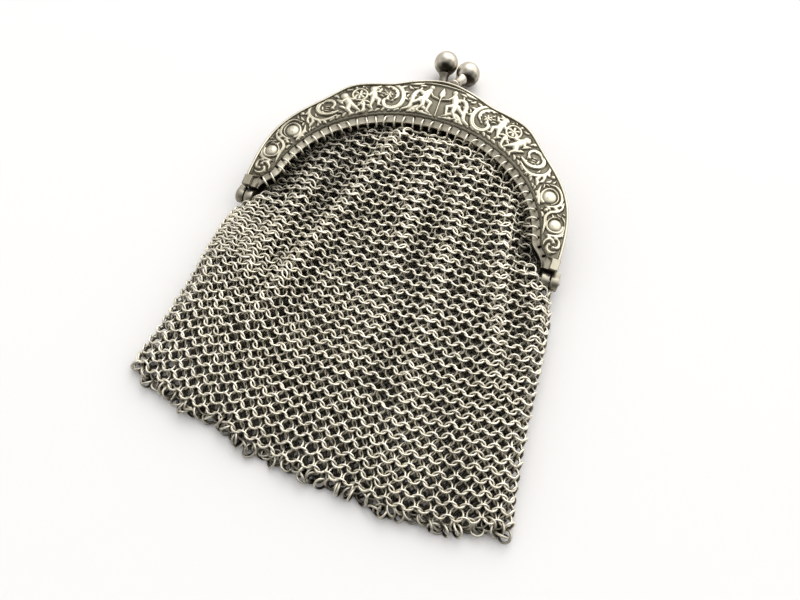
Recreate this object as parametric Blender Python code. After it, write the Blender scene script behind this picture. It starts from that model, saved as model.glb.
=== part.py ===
"""Ring-mesh evening purse on an arched frame: two hinged half-frames, kiss-lock, mesh pouch.

Millimetres in the constants, metres in the scene. X runs along the hinge axis, Y from the
pouch's bottom to the kiss-lock, Z up out of the front. The purse lies on its back on Z = 0
and the hinge axis is the line Y = 0, Z = HINGE_Z.
"""
import math

import bmesh
import bpy
import numpy as np
from mathutils import Matrix, Vector

for old in list(bpy.data.objects):
    bpy.data.objects.remove(old)

MM = 0.001

# Frame outline, about the arch centre (0, ARCH_Y)
ARCH_Y = 4.8
OUTLINE_R = 40.9
LOBES = ((24.0, 14.0, 1.15), (54.0, 8.0, 1.2), (90.0, 11.0, 1.6), (70.0, 5.0, -0.5))
HOLE_RX, HOLE_RY = 35.0, 29.5
FLARE, FLARE_DEG = 2.1, 3.2
FACING_INSET = 0.7
LIP_OUT = 1.2
ARCH_END_DEG = -2.6
# The facing runs past the wall's end as a plain tab over the hinge
FACING_END_DEG = -4.3

# Heights of the front half; the back half is its mirror image about MID_Z
MID_Z = 3.95
PART_GAP = 0.3
RIM_Z = MID_Z + PART_GAP / 2
BEAD_Z = 7.35
SEAT_Z = 6.45
HOLE_Z = 6.15
LIP_Z = 5.6
SHEET = 0.6
WALL = 0.95
BEAD_EDGE = 0.35
SEAT_LEAST, FACING_LEAST = 1.6, 0.9
FACING_LIFT = 0.3
DOME, DOME_LOW, DOME_SWELL = 0.75, 0.55, 0.35
BOSSES = 24
FACING_T, SKIN_EDGE = 0.45, 0.45
# Stations along the arch, and how far they bunch towards the hinges in degrees
CHANNEL_STATIONS, FACING_STATIONS = 47, 73
BUNCHING = 4.0

HOLES = 41
HOLE_R = 0.5
HOLE_SIDES = 8
PUNCH_DEPTH = 2.4
RINGS_FITTED = 39
RING_R, RING_WIRE = 1.33, 0.22

# Hinge
HINGE_Z = MID_Z
KNUCKLE_R, BORE_R, PIN_R = 2.0, 0.76, 0.66
INNER_KNUCKLE = (37.9, 39.9)
OUTER_KNUCKLE = (40.2, 42.2)
PIN_SPAN = (37.6, 42.5)
ARM_END, ARM_LOW, ARM_TOP = 2.3, 0.35, 1.3
BARREL_FROM, BARREL_TO = 55.0, 370.0
BORE_PAST = 1.0

# Kiss-lock
BALL_R = 3.17
FRONT_BALL = (3.9, 54.4, 3.5)
BACK_BALL = (-2.8, 55.6, 4.4)
FRONT_STEM_FOOT = (1.75, 47.85, 5.7)
BACK_STEM_FOOT = (-1.75, 47.85, 2.2)
STEM_R = (1.25, 0.9)

# Pouch
MESH_T = 1.3
MESH_INSET = 3.2
CLEAR = 0.3
LIFT = 4.15
SIDE_HALF = 42.3
BOTTOM_FLARE = 3.2
BOTTOM_Y = -57.0
BOTTOM_SKEW = 4.5
BOTTOM_BOW = 6.5
WAIST, WAIST_RATE = 4.4, 9.0
SIDE_GAP = 0.6
BOTTOM_HALF, BOW_POWER, EDGE_DROP = 45.0, 2.4, 1.0
# The front panel's swell falls off to its sides and its bottom as (1 - share ** power) ** root
SIDE_POWER, SIDE_ROOT = 12, 0.55
END_POWER, END_ROOT = 8, 0.6
COLUMN_BUNCH = 1.5
UPPER_THINNING = 0.35
UPPER_MID_Y, BACK_LAST_Y, SEAM_Y = 2.0, 3.6, -0.8
CROWN_DEG = 82
LOWER_TOP_Y = -4.0
UPPER_LOW_Y = 0.5
FRINGE_W = 3.0
FRINGE_STATIONS, SCALLOP, FRINGE_GAP = 49, 0.9, 0.35
FRINGE_TOP, FRINGE_END, FRINGE_FLOOR = 1.7, 1.3, 0.1


def material(name, colour, rough):
    mat = bpy.data.materials.new(name)
    mat.use_nodes = True
    shader = mat.node_tree.nodes["Principled BSDF"]
    shader.inputs["Base Color"].default_value = (*colour, 1.0)
    shader.inputs["Roughness"].default_value = rough
    shader.inputs["Metallic"].default_value = 1.0
    return mat


PLAIN = material("plain_silver", (0.62, 0.59, 0.52), 0.32)
EMBOSSED = material("embossed_silver", (0.58, 0.54, 0.45), 0.38)
POLISHED = material("polished_silver", (0.68, 0.65, 0.60), 0.22)
WOVEN = material("ring_mesh_silver", (0.45, 0.42, 0.36), 0.45)
WIRE = material("ring_wire_silver", (0.55, 0.52, 0.46), 0.35)


# Everything on the front half hangs from this empty on the hinge axis
HINGE = bpy.data.objects.new("frame_hinge_axis", None)
bpy.context.scene.collection.objects.link(HINGE)
HINGE.location = (0.0, 0.0, HINGE_Z * MM)


def place(name, mesh, front):
    """A linked object; a front one is parented to the hinge and keeps its world place."""
    obj = bpy.data.objects.new(name, mesh)
    bpy.context.scene.collection.objects.link(obj)
    if front:
        obj.parent = HINGE
        obj.matrix_parent_inverse = Matrix.Translation((0.0, 0.0, -HINGE_Z * MM))
    return obj


def finish(work, name, mat):
    """A mesh from a bmesh in millimetres: merged, turned outwards, smooth below 35 degrees."""
    bmesh.ops.scale(work, vec=(MM, MM, MM), verts=work.verts)
    bmesh.ops.remove_doubles(work, verts=work.verts, dist=1e-7)
    bmesh.ops.recalc_face_normals(work, faces=work.faces)
    mesh = bpy.data.meshes.new(name)
    work.to_mesh(mesh)
    work.free()
    mesh.materials.append(mat)
    mesh.shade_smooth()
    mesh.set_sharp_from_angle(angle=math.radians(35.0))
    return mesh


def add(name, verts, faces, mat, front=False):
    work = bmesh.new()
    points = [work.verts.new(tuple(float(c) for c in v)) for v in verts]
    for face in faces:
        work.faces.new([points[i] for i in face])
    return place(name, finish(work, name, mat), front)


def add_cylinders(name, centres, radius, depth, sides, turn, mat):
    """One mesh of equal cylinders about the given centres, turned by a rotation matrix."""
    work = bmesh.new()
    for centre in centres:
        bmesh.ops.create_cone(work, cap_ends=True, segments=sides, radius1=radius, radius2=radius,
                              depth=depth, matrix=Matrix.Translation(centre) @ turn)
    return place(name, finish(work, name, mat), False)


def cut(obj, cutter):
    cutter.hide_render = True
    cutter.display_type = "WIRE"
    boolean = obj.modifiers.new("cut_" + cutter.name, "BOOLEAN")
    boolean.operation = "DIFFERENCE"
    boolean.solver = "EXACT"
    boolean.object = cutter


def sweep(name, loops, mat, front=False):
    """A solid through closed loops that all have the same number of points."""
    count = len(loops[0])
    verts = [p for loop in loops for p in loop]
    faces = [tuple(range(count)), tuple(range(len(verts) - count, len(verts)))]
    for row in range(len(loops) - 1):
        for i in range(count):
            j = (i + 1) % count
            faces.append((row * count + i, row * count + j, (row + 1) * count + j, (row + 1) * count + i))
    return add(name, verts, faces, mat, front)


def shell(name, top, bottom, mat, front=False):
    """A closed sheet between two grids of points."""
    rows, cols = len(top), len(top[0])
    size = rows * cols
    verts = [p for row in top for p in row] + [p for row in bottom for p in row]
    faces = []
    for r in range(rows - 1):
        for c in range(cols - 1):
            a, b = r * cols + c, (r + 1) * cols + c
            faces.append((a, a + 1, b + 1, b))
            faces.append((size + a, size + b, size + b + 1, size + a + 1))
    edge = [c for c in range(cols)] + [r * cols + cols - 1 for r in range(1, rows)]
    edge += [(rows - 1) * cols + c for c in range(cols - 2, -1, -1)]
    edge += [r * cols for r in range(rows - 2, 0, -1)]
    for i, a in enumerate(edge):
        b = edge[(i + 1) % len(edge)]
        faces.append((a, size + a, size + b, b))
    return add(name, verts, faces, mat, front)


# Frame curves


def fold(deg):
    return 180.0 - deg if deg > 90.0 else deg


def outline_radius(deg):
    a = fold(deg)
    return OUTLINE_R + sum(h * math.exp(-(((a - c) / w) ** 2)) for c, w, h in LOBES)


def hole_radius(deg):
    a = fold(deg)
    c, s = math.cos(math.radians(a)), math.sin(math.radians(a))
    flare = FLARE * math.exp(-((max(a, 0.0) / FLARE_DEG) ** 2))
    return 1.0 / math.hypot(c / HOLE_RX, s / HOLE_RY) + flare


def polar(deg, radius):
    return radius * math.cos(math.radians(deg)), ARCH_Y + radius * math.sin(math.radians(deg))


def flip(z, front):
    return z if front else 2 * MID_Z - z


def hole_places():
    """Evenly spaced points on the hole curve: (x, y, unit vector towards the pouch)."""
    degs = np.linspace(0.3, 179.7, 1441)
    pts = np.array([polar(d, hole_radius(d)) for d in degs])
    run = np.concatenate([[0.0], np.cumsum(np.hypot(*np.diff(pts, axis=0).T))])
    out = []
    for s in np.linspace(0.0, run[-1], HOLES):
        x, y = np.interp(s, run, pts[:, 0]), np.interp(s, run, pts[:, 1])
        ahead = np.array([np.interp(s + 0.5, run, pts[:, 0]), np.interp(s + 0.5, run, pts[:, 1])])
        behind = np.array([np.interp(s - 0.5, run, pts[:, 0]), np.interp(s - 0.5, run, pts[:, 1])])
        along = (ahead - behind) / np.linalg.norm(ahead - behind)
        out.append((x, y, np.array([-along[1], along[0]])))
    return out


def arch_stations(end, count):
    """Angles from one hinge to the other, closer together near the hinges."""
    t = np.linspace(0.0, 1.0, count)
    even = end + t * (180.0 - 2 * end)
    return even - BUNCHING * np.sin(2 * math.pi * t)


def channel(name, front):
    """Outer wall, bead, seat for the facing and the plain flange that holds the rings."""
    loops = []
    for deg in arch_stations(ARCH_END_DEG, CHANNEL_STATIONS):
        ro, rh = outline_radius(deg), hole_radius(deg)
        rm = min(rh + FACING_INSET, ro - SEAT_LEAST)
        lip = rh - LIP_OUT
        section = (
            (ro, RIM_Z), (ro, BEAD_Z - BEAD_EDGE), (ro - BEAD_EDGE, BEAD_Z),
            (ro - 0.8 * WALL, BEAD_Z - 0.7 * BEAD_EDGE), (ro - WALL, SEAT_Z), (rm, SEAT_Z),
            (rh, HOLE_Z + SHEET / 2), (lip, LIP_Z + SHEET / 2), (lip, LIP_Z - SHEET / 2),
            (rh, HOLE_Z - SHEET / 2), (rm, SEAT_Z - SHEET), (ro - WALL, SEAT_Z - SHEET), (ro - WALL, RIM_Z),
        )
        loops.append([(*polar(deg, r), flip(z, front)) for r, z in section])
    obj = sweep(name, loops, PLAIN, front)
    centres = [(x, y, flip(HOLE_Z, front)) for x, y, _ in hole_places()]
    cut(obj, add_cylinders(name + "_punch", centres, HOLE_R, PUNCH_DEPTH, HOLE_SIDES, Matrix(), PLAIN))


def facing(name, front):
    """Embossed skin on the seat: domed, with a run of swelling bosses."""
    top, bottom = [], []
    for deg in arch_stations(FACING_END_DEG, FACING_STATIONS):
        ro, rm = outline_radius(deg) - WALL - PART_GAP, hole_radius(deg) + FACING_INSET
        rm = min(rm, ro - FACING_LEAST)
        swell = 0.5 + 0.5 * math.cos(math.radians(deg - 90.0) * BOSSES)
        upper, lower = [], []
        for w in np.linspace(0.0, 1.0, 6):
            r = ro + (rm - ro) * w
            arc = math.sin(math.pi * w)
            z = SEAT_Z + FACING_LIFT + DOME * arc * (DOME_LOW + DOME_SWELL * swell)
            upper.append((*polar(deg, r), flip(z + FACING_T * (SKIN_EDGE + (1 - SKIN_EDGE) * arc), front)))
            lower.append((*polar(deg, r), flip(z, front)))
        top.append(upper)
        bottom.append(lower)
    shell(name, top, bottom, EMBOSSED, front)


def knuckle(name, span, front, side):
    """A barrel with an arm that reaches the end of its half-frame."""
    steps = 18
    turn = 1.0 if front else -1.0
    profile = []
    for k in range(steps + 1):
        a = math.radians(BARREL_FROM + (BARREL_TO - BARREL_FROM) * k / steps)
        profile.append((KNUCKLE_R * math.cos(a), KNUCKLE_R * math.sin(a)))
    profile += [(ARM_END, ARM_LOW), (ARM_END, ARM_TOP)]
    loops = [[(side * x, y, HINGE_Z + turn * z) for y, z in profile] for x in span]
    obj = sweep(name, loops, PLAIN, front)
    cut(obj, rod(name + "_bore", (span[0] - BORE_PAST, span[1] + BORE_PAST), BORE_R, 16, side))


def rod(name, span, radius, sides, side):
    """A cylinder along the hinge axis."""
    centre = (side * (span[0] + span[1]) / 2, 0.0, HINGE_Z)
    turn = Matrix.Rotation(math.pi / 2, 4, "Y")
    return add_cylinders(name, [centre], radius, span[1] - span[0], sides, turn, PLAIN)


def ball(name, centre, front):
    work = bmesh.new()
    bmesh.ops.create_uvsphere(work, u_segments=16, v_segments=10, radius=BALL_R,
                              matrix=Matrix.Translation(centre))
    place(name, finish(work, name, POLISHED), front)


def stem(name, foot, centre, front):
    """A short tapering post that leans from the crown to its ball."""
    a, b = Vector(foot), Vector(centre)
    axis = (b - a).normalized()
    b -= axis * (BALL_R + PART_GAP)
    side = axis.cross(Vector((1, 0, 0))).normalized()
    other = axis.cross(side)
    loops = []
    for t in np.linspace(0.0, 1.0, 5):
        r = STEM_R[0] + (STEM_R[1] - STEM_R[0]) * math.sin(t * math.pi / 2)
        c = a.lerp(b, float(t))
        loops.append([c + side * (r * math.cos(p)) + other * (r * math.sin(p))
                      for p in (2 * math.pi * k / 12 for k in range(12))])
    sweep(name, loops, POLISHED, front)


def ring_mesh():
    """One wire ring about its own centre, standing in the XZ plane."""
    work = bmesh.new()
    turn = Matrix.Translation((RING_R, 0.0, 0.0))
    made = bmesh.ops.create_circle(work, segments=4, radius=RING_WIRE, matrix=turn)
    bmesh.ops.spin(work, geom=made["verts"] + work.edges[:], cent=(0, 0, 0), axis=(0, 1, 0),
                   angle=2 * math.pi, steps=10, use_merge=True)
    return finish(work, "jump_ring", WIRE)


def jump_rings():
    """A ring upright through each flange hole and round the lip, all of one shared mesh."""
    shared = ring_mesh()
    # The two holes nearest the right hinge carry no ring
    fitted = hole_places()[HOLES - RINGS_FITTED:]
    for n, (x, y, inward) in enumerate(reversed(fitted)):
        obj = place("front_ring_%02d" % (n + 1), shared, True)
        centre = np.array([x, y]) + inward * RING_R
        obj.location = (centre[0] * MM, centre[1] * MM, HOLE_Z * MM)
        obj.rotation_euler = (0.0, 0.0, math.atan2(inward[1], inward[0]))


# Pouch surfaces


def side_half(y):
    """Half width of the pouch below the hinge line."""
    t = min(max(y / BOTTOM_Y, 0.0), 1.0)
    return SIDE_HALF - WAIST * math.exp(-t * WAIST_RATE) + BOTTOM_FLARE * t ** 3


def bottom_edge(x):
    u = x / BOTTOM_HALF
    return BOTTOM_Y - BOTTOM_SKEW * u + BOTTOM_BOW * (abs(u) ** BOW_POWER) - EDGE_DROP


def arch_half(y):
    """Half width of the mesh inside the arch."""
    rx, ry = HOLE_RX - MESH_INSET, HOLE_RY - MESH_INSET
    s = min(max((y - ARCH_Y) / ry, -0.999), 0.999)
    return rx * math.sqrt(1 - s * s) if y > ARCH_Y else rx


def lower_panel():
    top, bottom = [], []
    for v in np.linspace(0.0, 1.0, 15):
        upper, lower = [], []
        for u in np.linspace(-1.0, 1.0, 25):
            u = math.copysign(1 - (1 - abs(u)) ** COLUMN_BUNCH, u)
            half = side_half(LOWER_TOP_Y + (BOTTOM_Y - LOWER_TOP_Y) * v)
            x = u * (half - SIDE_GAP)
            y = LOWER_TOP_Y + (bottom_edge(x) - LOWER_TOP_Y) * v
            puff = (1 - abs(u) ** SIDE_POWER) ** SIDE_ROOT * (1 - v ** END_POWER) ** END_ROOT
            z = MESH_T + CLEAR + max(LIFT * puff, 0.0)
            upper.append((x, y, z + MESH_T))
            lower.append((x, y, z))
        top.append(upper)
        bottom.append(lower)
    shell("mesh_front_lower", top, bottom, WOVEN)


def upper_panel():
    top, bottom = [], []
    lift = MESH_T + CLEAR + LIFT
    ys = [UPPER_LOW_Y, UPPER_MID_Y, ARCH_Y]
    ys += [ARCH_Y + (HOLE_RY - MESH_INSET) * math.sin(math.radians(a)) for a in range(10, 80, 9)]
    ys += [ARCH_Y + (HOLE_RY - MESH_INSET) * math.sin(math.radians(CROWN_DEG))]
    for y in ys:
        upper, lower = [], []
        for u in np.linspace(-1.0, 1.0, 17):
            x = u * arch_half(y)
            upper.append((x, y, lift + MESH_T * (1 - UPPER_THINNING * abs(u) ** 6)))
            lower.append((x, y, lift))
        top.append(upper)
        bottom.append(lower)
    shell("mesh_front_upper", top, bottom, WOVEN, True)


def back_panel():
    top, bottom = [], []
    rise = HOLE_RY - MESH_INSET
    ys = [ARCH_Y + rise * math.sin(math.radians(a)) for a in (CROWN_DEG, 74, 64, 52, 38, 24, 10)]
    rows = [[(u * arch_half(y), y) for u in np.linspace(-1, 1, 17)] for y in ys + [BACK_LAST_Y]]
    for v in np.linspace(0.02, 1.0, 10):
        y0 = SEAM_Y + (BOTTOM_Y - SEAM_Y) * v
        line = []
        for u in np.linspace(-1, 1, 17):
            x = u * side_half(y0)
            line.append((x, SEAM_Y + (bottom_edge(x) - SEAM_Y) * v))
        rows.append(line)
    for row in rows:
        top.append([(x, y, MESH_T) for x, y in row])
        bottom.append([(x, y, 0.0) for x, y in row])
    shell("mesh_back", top, bottom, WOVEN)


def fringe():
    """The loose row of rings below the bottom seam, as one scalloped strip."""
    top, bottom = [], []
    for i in range(FRINGE_STATIONS):
        x = BOTTOM_HALF * (2 * i / (FRINGE_STATIONS - 1) - 1)
        y = bottom_edge(x) - FRINGE_GAP
        drop = FRINGE_W + (SCALLOP if i % 2 else 0.0)
        top.append([(x, y, FRINGE_TOP), (x, y - drop, FRINGE_END)])
        bottom.append([(x, y, FRINGE_FLOOR), (x, y - drop, FRINGE_FLOOR)])
    shell("bottom_fringe", top, bottom, WIRE)


for half, is_front in (("front", True), ("back", False)):
    channel(half + "_channel", is_front)
    facing(half + "_facing", is_front)
    span = OUTER_KNUCKLE if is_front else INNER_KNUCKLE
    for word, side in (("left", -1.0), ("right", 1.0)):
        knuckle(half + "_knuckle_" + word, span, is_front, side)
for word, side in (("left", -1.0), ("right", 1.0)):
    rod("hinge_pin_" + word, PIN_SPAN, PIN_R, 12, side)
ball("front_ball", FRONT_BALL, True)
ball("back_ball", BACK_BALL, False)
stem("front_stem", FRONT_STEM_FOOT, FRONT_BALL, True)
stem("back_stem", BACK_STEM_FOOT, BACK_BALL, False)
jump_rings()
lower_panel()
upper_panel()
back_panel()
fringe()
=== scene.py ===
import math

import bmesh
import bpy
import numpy as np
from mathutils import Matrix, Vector


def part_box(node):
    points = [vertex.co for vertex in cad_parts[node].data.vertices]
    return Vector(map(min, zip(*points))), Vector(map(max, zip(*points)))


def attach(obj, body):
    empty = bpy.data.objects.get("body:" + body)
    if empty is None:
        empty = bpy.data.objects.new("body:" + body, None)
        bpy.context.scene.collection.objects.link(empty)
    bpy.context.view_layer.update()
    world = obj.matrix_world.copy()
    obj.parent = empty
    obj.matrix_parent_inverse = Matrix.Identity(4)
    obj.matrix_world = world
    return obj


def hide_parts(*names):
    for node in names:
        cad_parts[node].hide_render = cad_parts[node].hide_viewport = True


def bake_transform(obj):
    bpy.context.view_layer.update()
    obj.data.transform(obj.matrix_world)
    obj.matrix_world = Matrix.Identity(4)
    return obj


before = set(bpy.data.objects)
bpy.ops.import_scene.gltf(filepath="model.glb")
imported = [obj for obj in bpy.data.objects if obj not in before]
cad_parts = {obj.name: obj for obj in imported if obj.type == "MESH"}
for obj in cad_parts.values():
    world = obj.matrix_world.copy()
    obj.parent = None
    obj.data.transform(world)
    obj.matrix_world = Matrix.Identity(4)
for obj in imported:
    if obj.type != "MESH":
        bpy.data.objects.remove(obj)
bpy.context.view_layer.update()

mm = 0.001
rng = np.random.default_rng(41)
backTop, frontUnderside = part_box("back_channel")[1].z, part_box("front_channel")[0].z
midZ = (backTop + frontUnderside) / 2 / mm    # where the two half-frames meet
print("frame loaded, the half-frames meet at", round(midZ, 2), "mm")


# Shader maths: a wrapped socket that Python's operators build Math nodes from

class Wire:
    def __init__(self, shader, socket):
        self.shader, self.socket = shader, socket

    def calc(self, operation, a, b=0.0, clamp=False):
        settings = {"operation": operation, "use_clamp": clamp}
        return Wire(self.shader, self.shader.node("ShaderNodeMath", settings, {0: a, 1: b}).outputs[0])

    def __add__(self, other):
        return self.calc("ADD", self, other)

    def __radd__(self, other):
        return self.calc("ADD", other, self)

    def __sub__(self, other):
        return self.calc("SUBTRACT", self, other)

    def __rsub__(self, other):
        return self.calc("SUBTRACT", other, self)

    def __mul__(self, other):
        return self.calc("MULTIPLY", self, other)

    def __rmul__(self, other):
        return self.calc("MULTIPLY", other, self)

    def __pow__(self, other):
        return self.calc("POWER", self, other)

    def clamped(self):
        return self.calc("ADD", self, 0.0, clamp=True)


class Shader:
    def __init__(self, holder, place):
        self.holder = holder
        holder.use_nodes = True
        self.tree = holder.node_tree
        self.tree.nodes.clear()
        self.place = self.node("ShaderNodeTexCoord").outputs[place]

    # a node's type, its settings (a ramp's stops among them), then its sockets' values or links
    def node(self, kind, settings=None, sockets=None):
        made = self.tree.nodes.new(kind)
        for key, value in (settings or {}).items():
            if key == "stops":
                ramp = made.color_ramp
                while len(ramp.elements) < len(value):
                    ramp.elements.new(0.5)
                for element, (position, colour) in zip(ramp.elements, value):
                    element.position, element.color = position, (*colour, 1.0)
            else:
                setattr(made, key, value)
        for key, value in (sockets or {}).items():
            value = value.socket if isinstance(value, Wire) else value
            if isinstance(value, bpy.types.NodeSocket):
                self.tree.links.new(value, made.inputs[key])
            elif isinstance(value, tuple) and len(value) == 3 and made.inputs[key].type == "RGBA":
                made.inputs[key].default_value = (*value, 1.0)
            else:
                made.inputs[key].default_value = value
        return made

    def attribute(self, name):
        return Wire(self, self.node("ShaderNodeAttribute", {"attribute_name": name}).outputs["Fac"])

    def noise(self, scale, detail=3.0, rough=0.55, stretch=(1.0, 1.0, 1.0)):
        place = self.node("ShaderNodeMapping", None, {"Vector": self.place, "Scale": stretch}).outputs[0]
        sockets = {"Vector": place, "Scale": scale, "Detail": detail, "Roughness": rough}
        return Wire(self, self.node("ShaderNodeTexNoise", None, sockets).outputs["Fac"])

    def mix(self, factor, a, b):
        made = self.node("ShaderNodeMix", {"data_type": "RGBA"}, {0: factor, 6: a, 7: b})
        return made.outputs[2]

    def bump(self, height, strength, distance):
        sockets = {"Height": height, "Strength": strength, "Distance": distance}
        return self.node("ShaderNodeBump", None, sockets).outputs["Normal"]

    def surface(self, sockets):
        shader = self.node("ShaderNodeBsdfPrincipled", None, sockets)
        self.node("ShaderNodeOutputMaterial", None, {"Surface": shader.outputs[0]})
        return self.holder


    # how nearly the place, taken as a direction, points along the given one: 1 when it does
    def toward(self, direction):
        length = math.hypot(*direction)
        sockets = {0: self.place, 1: tuple(c / length for c in direction)}
        made = self.node("ShaderNodeVectorMath", {"operation": "DOT_PRODUCT"}, sockets)
        return Wire(self, made.outputs["Value"])


# Old silver: the wear attribute is 1 where handling keeps it bright and 0 in the hollows, where tarnish
# stays; on most pieces it also holds painted shade and painted light, and on the balls painted reflections,
# so its dark end, the tarnish colour, is painted shade as well as tarnish

def oldSilver(name, look):
    s = Shader(bpy.data.materials.new(name), "Object")
    wear, shade = s.attribute("wear"), s.attribute("shade")
    cloud = s.noise(look["cloudScale"], 4.0)
    speck = s.noise(look["speckScale"], 2.0, 0.7)
    uneven = (1.0 + (cloud - 0.5) * look["cloudAmount"] + (speck - 0.5) * look["speckAmount"]
              + (shade - 0.5) * look["shadeAmount"])
    bright = (wear * uneven).clamped()
    metal = s.mix(cloud, look["metalWarm"], look["metal"])
    colour = s.mix(bright, look["tarnishAndShade"], metal)
    rough = look["roughHigh"] - bright * (look["roughHigh"] - look["roughLow"])
    rough = rough + (speck - 0.5) * look["roughSpeck"]
    scratch = s.noise(look["scratchScale"], 2.0, 0.6, look["scratchStretch"])
    grain = s.bump(scratch * 0.5 + speck * 0.5, look["bump"], look["bumpDepth"])
    return s.surface({"Base Color": colour, "Metallic": 1.0, "Roughness": rough, "Normal": grain})


silverLook = {
    "metal": (0.80, 0.755, 0.64), "metalWarm": (0.72, 0.665, 0.535), "tarnishAndShade": (0.040, 0.034, 0.022),
    "cloudScale": 160.0, "cloudAmount": 0.6, "speckScale": 1500.0, "speckAmount": 0.35,
    "shadeAmount": 0.3, "roughHigh": 0.55, "roughLow": 0.28, "roughSpeck": 0.12,
    "scratchScale": 900.0, "scratchStretch": (1.0, 5.0, 1.0), "bump": 0.35, "bumpDepth": 0.00006,
}
plainMetal = oldSilver("plainMetal", silverLook)
embossedMetal = oldSilver("embossedMetal", {
    **silverLook, "metal": (0.67, 0.635, 0.525), "metalWarm": (0.57, 0.525, 0.405),
    "bump": 0.45, "cloudAmount": 0.5, "roughLow": 0.41,
})
ballMetal = oldSilver("ballMetal", {
    **silverLook, "metal": (0.76, 0.72, 0.64), "metalWarm": (0.60, 0.54, 0.44),
    "roughLow": 0.24, "cloudScale": 260.0, "cloudAmount": 0.9, "bump": 0.25,
})
ringMetal = oldSilver("ringMetal", {
    **silverLook, "metal": (0.88, 0.84, 0.735), "metalWarm": (0.80, 0.75, 0.625),
    "cloudScale": 60.0, "cloudAmount": 0.4, "roughLow": 0.5, "speckScale": 900.0,
    "bump": 0.2, "shadeAmount": 0.5,
})
print("materials made")


# Mesh making

# quads between neighbours in a grid of rows x cols points, which may close on itself either way
def gridFaces(rows, cols, loopRows=False, loopCols=False):
    r = np.arange(rows if loopRows else rows - 1)[:, None]
    c = np.arange(cols if loopCols else cols - 1)[None, :]
    r2, c2 = (r + 1) % rows, (c + 1) % cols
    return np.stack([r * cols + c, r * cols + c2, r2 * cols + c2, r2 * cols + c], -1).reshape(-1, 4)


# closes both ends of a tube of rows x cols points with strips of quads across it
def capRows(rows, cols):
    c = np.arange(cols // 2 - 1)
    strip = np.stack([c, c + 1, cols - 2 - c, cols - 1 - c], -1)
    return strip[:, ::-1], strip + (rows - 1) * cols


# a tube's side and both of its ends
def tubeFaces(rows, cols):
    return np.concatenate([gridFaces(rows, cols, loopCols=True), *capRows(rows, cols)])


# six times the volume that the quads enclose, below 0 when they face inwards
def signedVolume(points, quads):
    a, b, c, d = (points[quads[:, k]] for k in range(4))
    return float(np.einsum("ij,ij->", np.cross(a, b), c) + np.einsum("ij,ij->", np.cross(a, c), d))


# points in millimetres and faces as quads; wear, with the painted light and shade in it, has a value for
# each point
def newPiece(name, points, quads, material, body, replaced, wear, shade=0.5, sharp=0.0):
    points = np.asarray(points, float).reshape(-1, 3)
    if signedVolume(points, quads) < 0:
        quads = quads[:, ::-1]
    mesh = bpy.data.meshes.new(name)
    mesh.vertices.add(len(points))
    mesh.vertices.foreach_set("co", (points * mm).astype(np.float32).ravel())
    mesh.loops.add(quads.size)
    mesh.loops.foreach_set("vertex_index", quads.astype(np.int32).ravel())
    mesh.polygons.add(len(quads))
    mesh.polygons.foreach_set("loop_start", np.arange(len(quads), dtype=np.int32) * 4)
    mesh.polygons.foreach_set("loop_total", np.full(len(quads), 4, np.int32))
    mesh.update(calc_edges=True)
    finishPiece(name, mesh, material, body, replaced, wear, shade, sharp)


# a body given as one name becomes the piece's parent; any other body, such as two names with the start and
# end of a band between them, only has the piece's placement baked into its points; "sharp" is in degrees
def finishPiece(name, mesh, material, body, replaced, wear, shade, sharp):
    for key, values in (("wear", wear), ("shade", np.broadcast_to(shade, np.shape(wear)))):
        layer = mesh.attributes.new(key, "FLOAT", "POINT")
        layer.data.foreach_set("value", np.asarray(values, np.float32).ravel())
    mesh.materials.append(material)
    mesh.shade_smooth()
    if sharp:
        mesh.set_sharp_from_angle(angle=math.radians(sharp))
    piece = bpy.data.objects.new(name, mesh)
    bpy.context.scene.collection.objects.link(piece)
    if isinstance(body, str):
        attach(piece, body)
    else:
        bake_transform(piece)
    if replaced:
        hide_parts(*replaced)


def smoothStep(low, high, value):    # rises smoothly from 0 at low to 1 at high
    t = np.clip((value - low) / (high - low), 0.0, 1.0)
    return t * t * (3 - 2 * t)


def bell(away, wide):    # 1 at the middle, fading to nothing over about twice the width
    return np.exp(-((away / wide) ** 2))


def unit(v):
    return v / np.linalg.norm(v, axis=-1, keepdims=True)


def wordFor(front):
    return "front" if front else "back"


# Frame outline, much as the CAD has it: a circle with swells, and an oval line of ring holes, both
# about the arch's middle. A swell is the angle of its middle, its width in degrees and its height.

arch = {
    "middleY": 4.8, "outlineR": 40.9, "holeX": 35.0, "holeY": 29.5, "flare": 2.1, "flareDeg": 3.2,
    "swells": ((22.0, 15.0, 1.25), (54.0, 8.0, 1.2), (90.0, 11.0, 1.6), (70.0, 5.0, -0.5)),
    "facingInset": 0.75, "lipOut": 1.2, "holes": 41, "emptyHoles": 2, "firstDeg": 0.3,
    "rim": 0.15, "bead": 3.4, "seat": 2.5, "holeLevel": 2.2, "lipLevel": 1.65, "sheet": 0.6,
}


def rightHalf(deg):    # the arch is symmetrical: the matching angle on its right half
    return np.where(deg > 90, 180 - deg, deg)


def outlineRadius(deg):
    a = rightHalf(deg)
    return arch["outlineR"] + sum(h * bell(a - c, w) for c, w, h in arch["swells"])


def holeRadius(deg):    # the oval's radius, plus a flare beside the hinges
    a = rightHalf(deg)
    c, s = np.cos(np.radians(a)), np.sin(np.radians(a))
    flare = arch["flare"] * bell(np.maximum(a, 0), arch["flareDeg"])
    return 1 / np.hypot(c / arch["holeX"], s / arch["holeY"]) + flare


def archPoint(deg, radius):
    return radius * np.cos(np.radians(deg)), arch["middleY"] + radius * np.sin(np.radians(deg))


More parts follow.
